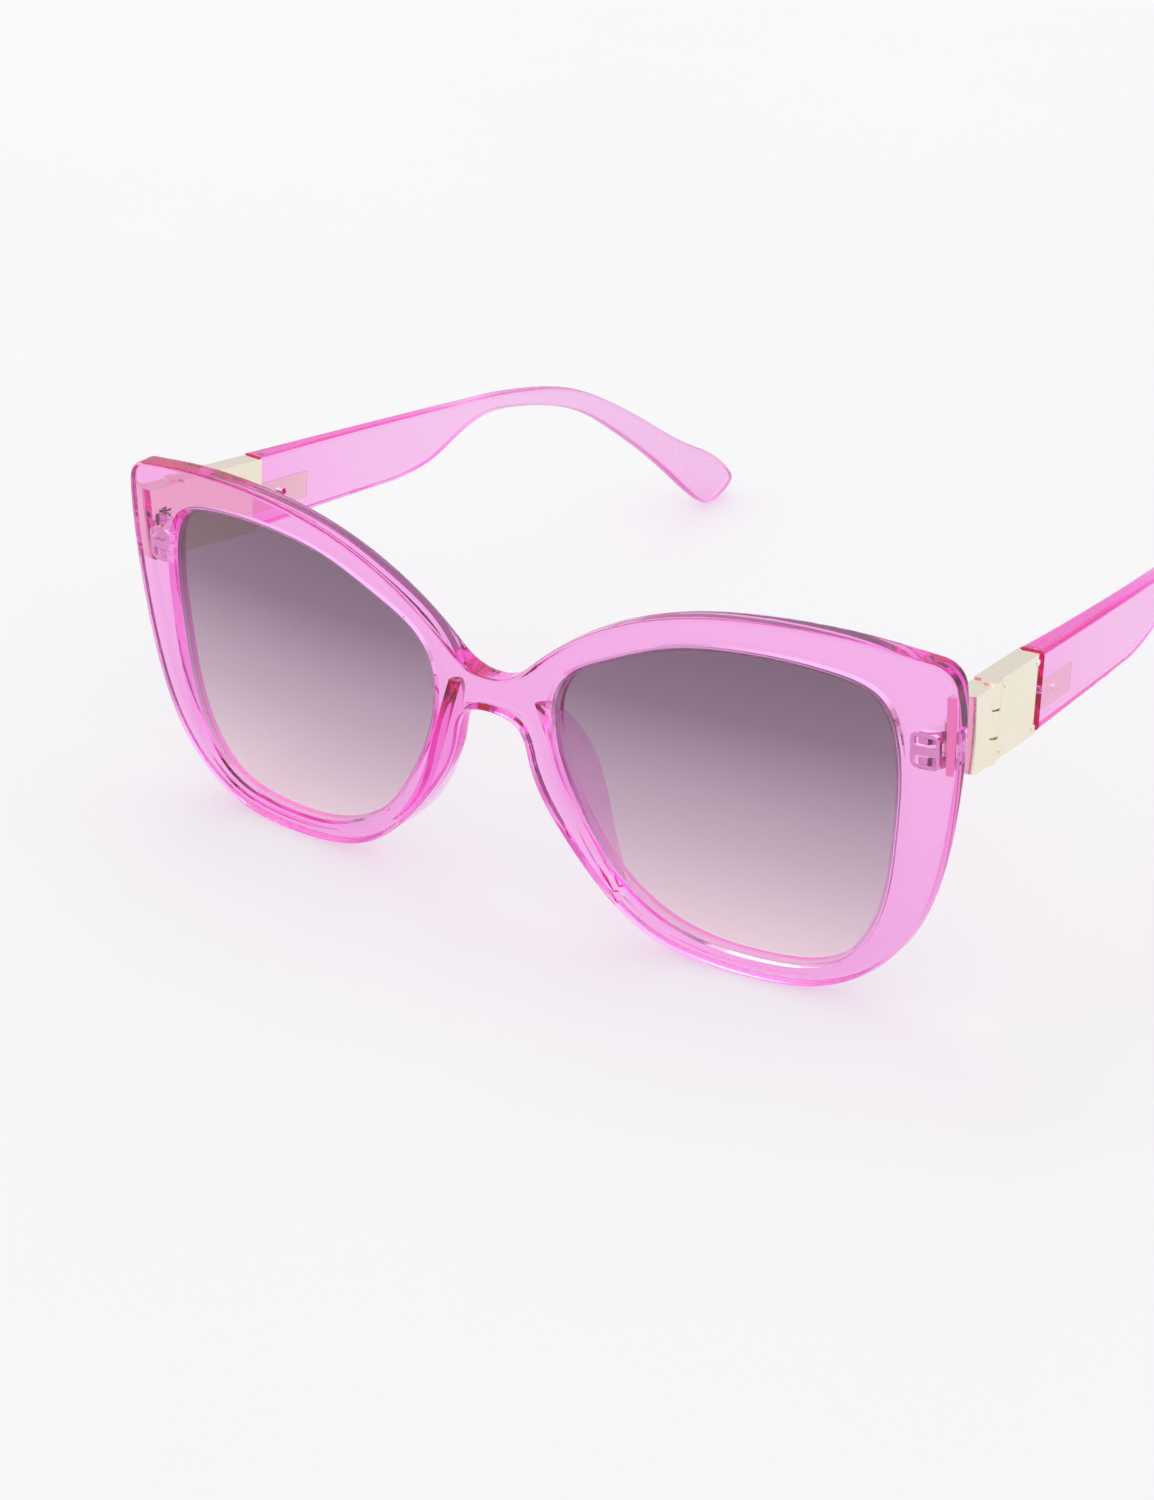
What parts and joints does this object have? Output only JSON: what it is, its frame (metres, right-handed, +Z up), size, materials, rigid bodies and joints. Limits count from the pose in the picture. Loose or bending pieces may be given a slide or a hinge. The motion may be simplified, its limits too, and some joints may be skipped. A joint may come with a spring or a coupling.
{
  "type": "cat eye sunglasses",
  "caption": "Cat eye sunglasses with a translucent pink frame, gradient purple lenses, gold end pieces and inward folding arms",
  "frame": {"origin": "on the floor in the middle of the outline, with the arms open and the rims and arm tips resting on the floor", "axes": "+X the wearer's left, +Y from the front to the arm tips, +Z up"},
  "size_m": [0.1412, 0.1472, 0.0538],
  "materials": {
    "pink_plastic": "translucent gloss",
    "lens": "gloss, tint fading from smoky purple to pale pink",
    "gold": "polished pale gold",
    "hinge_metal": "polished"
  },
  "bodies": {
    "front": {"front_frame": "pink_plastic", "left_lens": "lens", "right_lens": "lens", "left_front_hinge": "hinge_metal", "right_front_hinge": "hinge_metal", "left_hinge_screw": "hinge_metal", "right_hinge_screw": "hinge_metal"},
    "left_arm": {"left_end_block": "gold", "left_front_plate": "gold", "left_rear_plate": "gold", "left_plate_rivets": "gold", "left_trim_barrel": "gold", "left_arm": "pink_plastic", "left_arm_pin": "hinge_metal"},
    "right_arm": {"right_end_block": "gold", "right_front_plate": "gold", "right_rear_plate": "gold", "right_plate_rivets": "gold", "right_trim_barrel": "gold", "right_arm": "pink_plastic", "right_arm_pin": "hinge_metal"}
  },
  "joints": [
    {"name": "left_fold", "type": "hinge", "parent": "front", "child": "left_arm", "pos_m": [0.0669, -0.06157, 0.03915], "axis": [0, 0, 1], "range_deg": [0, 85]},
    {"name": "right_fold", "type": "hinge", "parent": "front", "child": "right_arm", "pos_m": [-0.0669, -0.06157, 0.03915], "axis": [0, 0, -1], "range_deg": [0, 78]}
  ]
}
